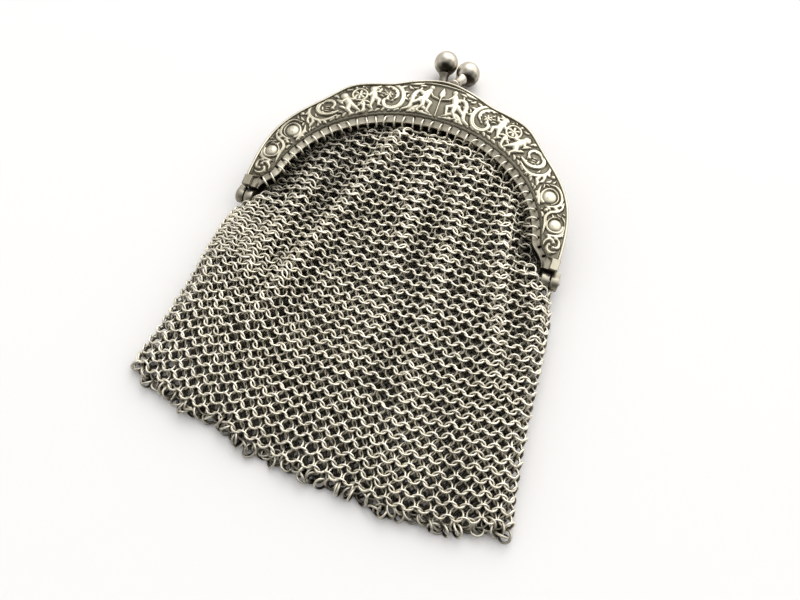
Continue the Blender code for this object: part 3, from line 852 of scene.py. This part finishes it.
# both profiles stand on the line from the stem's foot to the ball's middle
def kissLock(front):
    word = wordFor(front)
    ballLow, ballHigh = (np.array(c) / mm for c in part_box(word + "_ball"))
    stemLow = np.array(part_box(word + "_stem")[0]) / mm
    middle, radius = (ballLow + ballHigh) / 2, (ballHigh - ballLow).max() / 2 * lock["swell"]
    footX, footZ = (lock["footX"], lock["footFront"]) if front else (-lock["footX"], lock["footBack"])
    foot = np.array([footX, stemLow[1] + lock["footUp"], footZ])
    direction = middle - foot
    # ball: a circle's profile, slightly flattened at the poles
    a = np.linspace(0.0, math.pi, lock["rings"])
    profile = np.stack([-radius * lock["flat"] * np.cos(a), np.maximum(radius * np.sin(a), 0.002)], -1)
    placed = leaning(turned(profile, lock["sides"]), middle, direction)
    newPiece(word + "LockBall", placed, tubeFaces(len(profile), lock["sides"]), ballMetal, word + "_half",
             (word + "_ball",), ballPatinaAndReflection(placed, (placed - middle) / radius))
    # stem: a flared foot, a waist and a small collar under the ball
    end = np.linalg.norm(direction) - radius * lock["flat"] + lock["enter"]
    r0, r1, r2 = lock["stemR"]
    profile = [(-0.35, 0.002), (-0.35, r0 * 0.9), (-0.2, r0), (0.1, r0), (0.5, r0 * 0.86),
               (end * 0.35, r1 * 1.08), (end * 0.6, r1), (end * 0.85, r1 * 1.02),
               (end - 0.1, r2), (end, r2), (end, 0.002)]
    stem = leaning(turned(profile, lock["stemSides"]), foot, direction)
    wear = np.full(stem.shape[:2], lock["frontStemWear"] if front else lock["backStemWear"])
    newPiece(word + "LockStem", stem, tubeFaces(len(profile), lock["stemSides"]), ballMetal,
             word + "_half", (word + "_stem",), wear, 0.55, 50.0)


# bright, with two blotched dark patches on the side away from the frame, patina with a painted reflection
# in them, and a top painted darker to dim the window's highlight
def ballPatinaAndReflection(place, bearing):
    blotch = 0.1 * np.sin(place[..., 0] * 2.3 + 1.0) * np.cos(place[..., 2] * 2.9)
    blotch = blotch + 0.06 * np.sin(place[..., 1] * 5.1)
    patinaAndReflection = smoothStep(0.62, 1.0, bearing @ np.array(lock["patinaAndReflectionTo"]) + blotch)
    under = smoothStep(0.3, 0.85, bearing @ np.array(lock["underTo"]) + blotch)
    wear = lock["wear"] - 0.5 * patinaAndReflection - 0.6 * np.maximum(under - 0.5 * patinaAndReflection, 0)
    # painted shade on the top, towards the window
    return wear - 0.2 * smoothStep(0.3, 0.95, bearing[..., 1])


for front in (True, False):
    kissLock(front)
print("kiss-lock made")


# Ring mesh: rings in rows, each through two above and two below; rows lean in and out by turns

weave = {
    "columns": 13.5, "rows": 70, "rowPitch": 1.30, "topY": 31.2, "around": 14, "section": 4,
    "ringR": 1.45, "wire": 0.285, "tilt": 31.5, "backR": 1.52, "backWire": 0.32, "backTilt": 17.0,
    "jitter": 4.5, "tiltJitter": 3, "yawJitter": 4, "sizeJitter": 0.012, "slide": 0.07, "floor": 0.02,
    "hollowWear": 0.5, "backShade": 0.22, "lipShade": 0.35, "leftShade": 0.42, "foldLight": 0.24,
}
pouch = {
    "half": 42.6, "flare": 2.9, "flareLeft": 2.7, "waist": 3.6, "waistLeft": 1.5, "waistRun": 6.0,
    "front": 6.2, "back": 0.85, "bottomHalf": 0.85, "bottomY": 58.5, "lowest": 60, "edgeX": 45.0,
    "skew": 4.5, "bow": 6.5, "leftLift": 0.13, "tuck": 1.9, "insetX": 2.3, "crowd": 1.5,
    "flatTop": 14, "roundSide": 0.55, "halfWidth": 42.5, "halfThick": 2.6,
}
waves = {
    "fanFrom": 95, "least": 0.12, "more": 0.2, "moreFrom": (-62, 10),
    "leanFrom": 32, "grow": 12, "fade": 22, "furrow": 0.45, "furrowAway": 1.7, "pull": 0.9,
}
# folds that run down from the arch: x at the top, lean per mm down, half width, height, first and last Y
gathers = (
    (-6.5, -0.26, 3.3, 1.5, 36, -44), (5.5, -0.05, 3.0, 0.8, 34, -20), (-19.0, -0.22, 3.2, 0.9, 24, -30),
    (22.0, 0.20, 2.8, 1.1, 26, -34), (13.5, 0.04, 3.2, 0.6, 30, -50),
)


# height of the folds and the sideways pull that comes with them: soft waves that fan out from far above,
# and on them a ridge between two furrows for each gather
def foldAt(x, lineY):
    fan = np.degrees(np.arctan2(x, waves["fanFrom"] - lineY))
    soft = waves["least"] + waves["more"] * smoothStep(*waves["moreFrom"], lineY)
    ridge = soft * (np.sin(fan * 0.92 + 0.6) * 0.6 + np.sin(fan * 0.51 + 2.1) * 0.5)
    pull = soft * 0.5 * np.sin(fan * 0.92 + 2.0)
    for topX, lean, wide, tall, first, last in gathers:
        away = (x - topX - lean * (waves["leanFrom"] - lineY)) / wide
        fold = tall * smoothStep(first, first - waves["grow"], lineY)
        fold = fold * smoothStep(last, last + waves["fade"], lineY)
        furrows = waves["furrow"] * bell(np.abs(away) - waves["furrowAway"], 1.0)
        ridge = ridge + fold * (bell(away, 1.0) - furrows)
        pull = pull - waves["pull"] * away * bell(away, 1.0) * fold
    return ridge, pull


# 0 well inside the arch and 1 where the mesh passes under the lip
def underLip(x, lineY):
    lipAway = 1 - np.hypot(x / arch["holeX"], np.maximum(lineY - arch["middleY"], 0) / arch["holeY"])
    return smoothStep(0.20, 0.07, lipAway) * smoothStep(-1.0, 4.0, lineY)


# half of the pouch's section, flat on top and round at the side: the run along it, and x and z as shares
def sectionShares():
    t = np.linspace(0, 1, 800)
    x = 1 - (1 - t) ** 3
    z = (1 - x ** pouch["flatTop"]) ** pouch["roundSide"]
    steps = np.hypot(np.diff(x * pouch["halfWidth"]), np.diff(z * pouch["halfThick"]))
    run = np.concatenate([[0], np.cumsum(steps)])
    return run / run[-1], x, z


shareRun, shareX, shareZ = sectionShares()


# a place on the pouch from its column (0 in the middle) and its row's height on the middle line: the
# section's share of a half width that flares downwards, with a droop, a thickness, folds and small waves
def pouchPoint(column, lineY, side):
    share = np.clip(np.abs(column) / weave["columns"], 0, 1)
    fx, fz = np.interp(share, shareRun, shareX), np.interp(share, shareRun, shareZ)
    sign = np.sign(column)
    left = sign < 0
    below = np.clip(-lineY, 0, pouch["lowest"])
    down = below / pouch["bottomY"]
    half = pouch["half"] + pouch["flare"] * down ** 3 + left * pouch["flareLeft"] * down ** 4
    waist = pouch["waist"] + left * pouch["waistLeft"]
    x = sign * (half * fx - waist * np.exp(-below / pouch["waistRun"]) * fx ** 6)
    u = x / pouch["edgeX"]
    droop = -pouch["skew"] * u + pouch["bow"] * np.abs(u) ** 2.4
    weight = np.clip(-lineY / 25, 0, 1) ** 1.2 - 0.18 * np.clip(lineY / 12, 0, 1)
    weight = weight * (1 - left * pouch["leftLift"] * smoothStep(-38, -58, lineY))
    y = lineY + weight * droop
    thick = (pouch["front"] - pouch["back"]) / 2
    thick = thick + (pouch["bottomHalf"] - thick) * down ** 6
    ridge, pull = foldAt(x, lineY)
    sag = pouch["tuck"] * underLip(x, lineY)
    y = y + 0.3 * np.sin(x * 0.19 + 1.4 * np.sin(lineY * 0.11)) + 0.16 * np.sin(x * 0.47 + lineY * 0.31)
    middle = pouch["back"] + thick
    z = middle + side * thick * fz + (ridge * fz - sag) * (side > 0) + sag * 0.5 * (side < 0)
    x = x + pull * fz * (side > 0)
    return np.stack(np.broadcast_arrays(x, y, z), -1)


# rings as one mesh: centre + R (cos a * across + sin a * down) + r (cos b * radial + sin b * out)
def ringCloud(centre, across, down, out, radius, wire, around, section):
    a = np.linspace(0, 2 * math.pi, around, endpoint=False)[None, :, None, None]
    b = np.linspace(0, 2 * math.pi, section, endpoint=False)[None, None, :, None]
    radius = np.broadcast_to(np.asarray(radius, float).reshape(-1, 1, 1, 1), (len(centre), 1, 1, 1))
    c, e, d, o = (v[:, None, None, :] for v in (centre, across, down, out))
    radial = np.cos(a) * e + np.sin(a) * d
    points = c + (radius + wire * np.cos(b)) * radial + wire * np.sin(b) * o
    one = gridFaces(around, section, True, True)
    quads = (one[None] + (np.arange(len(centre)) * around * section)[:, None, None]).reshape(-1, 4)
    return points, quads


def turnPair(p, q, angle):    # two unit directions turned in their own plane, by radians for each ring
    c, s = np.cos(angle)[:, None], np.sin(angle)[:, None]
    return c * p + s * q, c * q - s * p


# turns each ring about its row, then about the line down the mesh, then in its own plane
def tiltFrames(across, down, out, tilt, roll, yaw):
    down, out = turnPair(down, out, np.radians(tilt))
    across, out = turnPair(across, out, np.radians(roll))
    across, down = turnPair(across, down, np.radians(yaw))
    return across, down, out


# column, height on the middle line and lean (1 or -1) of every ring in the rows; odd rows stand half a
# column over, and in front each of them has one ring more on the left
def ringPlaces(rows, side):
    columns, lines, leans = [], [], []
    last = weave["columns"]
    for row in rows:
        shift = 0.5 * (row % 2)
        c = np.arange(-int(last), int(last) + 1) + shift
        if side < 0:
            c = c[np.abs(c) < last]
        elif shift:
            c = np.append(c, -last)
        columns.append(c)
        lines.append(np.full(len(c), weave["topY"] - weave["rowPitch"] * row))
        leans.append(np.full(len(c), -1 if row % 2 else 1))
    column, line, lean = (np.concatenate(v) for v in (columns, lines, leans))
    if side < 0:    # the back's rings lie behind the front's gaps
        column = column + 0.5 * (1 - np.abs(column / last) ** 4)
        line = line - 0.5 * weave["rowPitch"]
    return column, line, lean


# each ring lies in the pouch's surface, then is tilted and shifted a little at random
def wovenRings(name, rows, side, body, replaced=()):
    column, line, lean = ringPlaces(rows, side)
    centre = pouchPoint(column, line, side)
    chosen, centre[:, 0] = crowdIn(centre)
    column, line, lean, centre = column[chosen], line[chosen], lean[chosen], centre[chosen]
    n, step = len(column), 0.04
    inColumn = np.clip(column, step - weave["columns"], weave["columns"] - step)
    across = unit(pouchPoint(inColumn + step, line, side) - pouchPoint(inColumn - step, line, side))
    down = unit(pouchPoint(column, line - step, side) - pouchPoint(column, line + step, side))
    out = unit(np.cross(down, across)) * side
    down = unit(down - (down * across).sum(-1, keepdims=True) * across)
    lay = weave["tilt"] if side > 0 else weave["backTilt"]
    tilt = lean * (lay + rng.normal(0, weave["jitter"], n)) + rng.normal(0, weave["tiltJitter"], n)
    roll, yaw = rng.normal(0, weave["jitter"], n), rng.normal(0, weave["yawJitter"], n)
    frames = tiltFrames(across, down, out, tilt, roll, yaw)
    centre = centre + rng.normal(0, weave["slide"], (n, 3)) * [1, 1, 0.5]
    radius, wire = (weave["ringR"], weave["wire"]) if side > 0 else (weave["backR"], weave["backWire"])
    radius = radius * (1 + rng.normal(0, weave["sizeJitter"], n))
    points, quads = ringCloud(centre, *frames, radius, wire, weave["around"], weave["section"])
    # a ring is bright on its proud side and dark on its low side: partly real wear on the tops and tarnish
    # lower down, partly painted shade where the rings shade one another
    proud = ((points - centre[:, None, None]) * out[:, None, None]).sum(-1)
    # the back layer is painted dark all over: painted shade for lying behind the front layer
    tone = meshPaintedLight(centre[:, 0], line)[:, None, None] if side > 0 else weave["backShade"]
    dull = weave["hollowWear"]
    wear = (dull + (1 - dull) * smoothStep(-0.5, 0.25, proud)) * tone
    shade = rng.uniform(0, 1, n)[:, None, None]
    points[..., 2] = np.maximum(points[..., 2], weave["floor"])
    newPiece(name, points, quads, ringMetal, body, replaced, wear, shade)


# painted shade under the lip and to the left inside the arch, painted light on the folds and painted shade
# between them
def meshPaintedLight(x, line):
    dim = smoothStep(-4, -24, x) * smoothStep(-8, 12, line)
    tone = 1 - weave["lipShade"] * underLip(x, line) - weave["leftShade"] * dim
    return tone + weave["foldLight"] * np.clip(foldAt(x, line)[0], -0.9, 0.9)


# inside the arch the mesh stops at the lip: rings that would pass it a little crowd up against it
def crowdIn(p):
    x, y = p[:, 0], p[:, 1]
    dx, dy = arch["holeX"] - pouch["insetX"], arch["holeY"] - pouch["insetX"]
    rise = np.clip((y - arch["middleY"]) / dy, 0, 0.9999)
    side = dx * np.sqrt(1 - rise ** 2) + np.clip((arch["middleY"] - y) * 0.62, 0, None)
    side = np.where(y > -3.0, side, 1e3)
    kept = (np.abs(x) < side + pouch["crowd"]) & (y < arch["middleY"] + dy)
    return kept, np.sign(x) * np.minimum(np.abs(x), side)


splitRow = 31    # rows above this one make the upper pieces
hingeBand = ((0.0, -6.0 * mm, midZ * mm), (0.0, 5.0 * mm, midZ * mm))
topRows, lowRows = range(0, splitRow), range(splitRow, weave["rows"])
wovenRings("frontMeshUpper", topRows, 1, ("back_half", "front_half", *hingeBand), ("mesh_front_upper",))
wovenRings("frontMeshLower", lowRows, 1, "back_half", ("mesh_front_lower",))
wovenRings("backMeshUpper", topRows, -1, "back_half")
wovenRings("backMeshLower", lowRows, -1, "back_half", ("mesh_back",))
print("ring mesh made")


# Jump rings: one stands through each hole of the flange, round the lip and through the mesh

jump = {"r": 1.36, "wire": 0.25, "lean": 6.0, "slant": 5.0, "around": 22, "section": 6, "low": 0.15}


# a ring's middle is its radius away from its hole, and its plane stands across the flange
def jumpRings(front):
    fitted = np.arange(arch["emptyHoles"] if front else 0, arch["holes"])
    n, sign = len(fitted), 1 if front else -1
    place, toward = holeAt[fitted], inward[fitted]
    height = np.full((n, 1), levels(front, arch["holeLevel"] - jump["low"]))
    centre = np.concatenate([place + toward * jump["r"], height], 1)
    across = np.concatenate([toward, np.zeros((n, 1))], 1)
    down = np.broadcast_to([0.0, 0.0, 1.0], (n, 3))
    swing = rng.normal(0, jump["lean"], n)
    across, out = turnPair(across, np.cross(across, down), np.radians(jump["slant"] + swing * 0.6) * sign)
    frames = tiltFrames(across, down, out, swing * 0.4, swing, np.zeros(n))
    points, quads = ringCloud(centre, *frames, jump["r"], jump["wire"], jump["around"], jump["section"])
    # painted shade: each ring darker low down, near the plane where the half-frames meet, and lighter
    # higher up
    wear = 0.4 + 0.6 * smoothStep(0.8, 2.6, (points[..., 2] - midZ) * sign)
    shade = rng.uniform(0.3, 1, n)[:, None, None]
    word = wordFor(front)
    replaced = tuple("front_ring_%02d" % (k + 1) for k in range(n)) if front else ()
    newPiece(word + "JumpRings", points, quads, ringMetal, word + "_half", replaced,
             wear, shade)


for front in (True, False):
    jumpRings(front)
print("jump rings made")


# Fringe: loose rings hooked into the bottom row, some in pairs, lying as they fell

fringe = {"perColumn": 3.7, "drop": 1.35, "spread": 0.9, "ringR": 1.42, "tilt": 46.0, "endColumn": 13.3,
          "slide": 0.18, "sizeJitter": 0.04, "around": 16, "section": 5, "floor": 0.04, "lift": 1.2}


# more rings than columns, lower in each scallop, flat on the floor or leaning at random
def fringeRings():
    last = fringe["endColumn"]
    n = int(2 * weave["columns"] * fringe["perColumn"])
    column = np.linspace(-last, last, n) + rng.normal(0, fringe["slide"], n)
    lastLine = weave["topY"] - weave["rowPitch"] * (weave["rows"] - 1)
    centre = pouchPoint(np.clip(column, -last, last), np.full(n, lastLine), 1)
    scallop = 0.5 + 0.5 * np.sin(column * 1.45 + 0.7)
    centre[:, 1] -= fringe["drop"] * (0.45 + 0.75 * scallop) + rng.uniform(-1, 1, n) * fringe["spread"]
    across = unit(np.stack([np.ones(n), rng.normal(0, 0.35, n), rng.normal(0, 0.12, n)], -1))
    out = unit(np.stack([rng.normal(0, 0.22, n), rng.normal(0, 0.3, n), np.ones(n)], -1))
    down = unit(np.cross(across, out))
    across = np.cross(out, down)
    tilt, roll = rng.normal(0, fringe["tilt"], n), rng.normal(0, fringe["tilt"], n)
    frames = tiltFrames(across, down, out, tilt, roll, np.zeros(n))
    radius = fringe["ringR"] * (1 + rng.normal(0, fringe["sizeJitter"], n))
    centre[:, 2] = 0
    points, quads = ringCloud(centre, *frames, radius, weave["wire"], fringe["around"], fringe["section"])
    low = points[..., 2].min(axis=(1, 2))    # each ring lies on the floor or a little over it
    room = np.clip(fringe["lift"] - fringe["drop"] * scallop * 0.6, 0.1, 1)
    points[..., 2] += (fringe["floor"] - low + rng.uniform(0, 1.0, n) * room)[:, None, None]
    middle = points[..., 2].mean(axis=(1, 2), keepdims=True)
    # painted shade: each ring darker on its lower part, near the floor
    wear = 0.7 * smoothStep(-0.7, 0.6, points[..., 2] - middle)
    shade = rng.uniform(0, 0.9, n)[:, None, None]
    newPiece("bottomFringe", points, quads, ringMetal, "back_half",
             ("bottom_fringe",), wear, shade)


fringeRings()
print("fringe made")


# Floor, light and camera

studio = {
    "floor": 3.0, "floorTone": (0.79, 0.775, 0.762), "floorRough": 0.9, "lens": 27.0, "sensor": 36.0,
    "near": 0.005, "eye": (0.0301, -0.0615, 0.1385), "turn": (20.76, 2.82, 18.69),
}
room = {    # an even room with a bright window, and the dark shape of somebody who stands over the table
    "tone": (1.0, 1.0, 1.0), "base": 0.76, "window": (0.32, 0.67, 0.67), "windowFrom": 0.30,
    "windowGain": 1.5, "person": (0.30, -0.82, 0.48), "personFrom": 0.55, "personTo": 0.85,
    "personDark": 0.9,
}
lamp = {"place": (-0.05, 0.50, 0.50), "aim": (0.0, 0.0, 0.0), "width": 0.35, "height": 0.25, "power": 0.7}


def link(name, data):
    holder = bpy.data.objects.new(name, data)
    bpy.context.scene.collection.objects.link(holder)
    return holder


def whiteTable():
    side = studio["floor"]
    mesh = bpy.data.meshes.new("whiteTable")
    corners = [(-side, -side, 0), (side, -side, 0), (side, side, 0), (-side, side, 0)]
    mesh.from_pydata(corners, [], [(0, 1, 2, 3)])
    s = Shader(bpy.data.materials.new("whitePaper"), "Object")
    mesh.materials.append(s.surface({"Base Color": studio["floorTone"], "Roughness": studio["floorRough"]}))
    link("whiteTable", mesh)


def softRoom():
    world = bpy.data.worlds.new("softRoom")
    s = Shader(world, "Generated")
    windowSpan, personSpan = 1 - room["windowFrom"], room["personTo"] - room["personFrom"]
    window = ((s.toward(room["window"]) - room["windowFrom"]) * (1 / windowSpan)).clamped()
    person = ((s.toward(room["person"]) - room["personFrom"]) * (1 / personSpan)).clamped()
    power = (1.0 - person * room["personDark"]) * room["base"] + window ** 2.0 * room["windowGain"]
    sky = s.node("ShaderNodeBackground", None, {"Color": room["tone"], "Strength": power})
    s.node("ShaderNodeOutputWorld", None, {"Surface": sky.outputs[0]})
    bpy.context.scene.world = world


def windowLight():
    light = bpy.data.lights.new("windowLight", "AREA")
    light.shape, light.size, light.size_y = "RECTANGLE", lamp["width"], lamp["height"]
    light.energy = lamp["power"]
    holder = link("windowLight", light)
    holder.location = lamp["place"]
    aim = Vector(lamp["aim"]) - Vector(lamp["place"])
    holder.rotation_euler = aim.to_track_quat("-Z", "Y").to_euler()


def tableCamera():
    camera = bpy.data.cameras.new("camera")
    camera.lens, camera.sensor_width, camera.clip_start = studio["lens"], studio["sensor"], studio["near"]
    holder = link("camera", camera)
    holder.location = studio["eye"]
    holder.rotation_euler = [math.radians(a) for a in studio["turn"]]
    bpy.context.scene.camera = holder
    settings = bpy.context.scene.view_settings
    settings.view_transform, settings.look = "Standard", "Medium High Contrast"


whiteTable()
softRoom()
windowLight()
tableCamera()
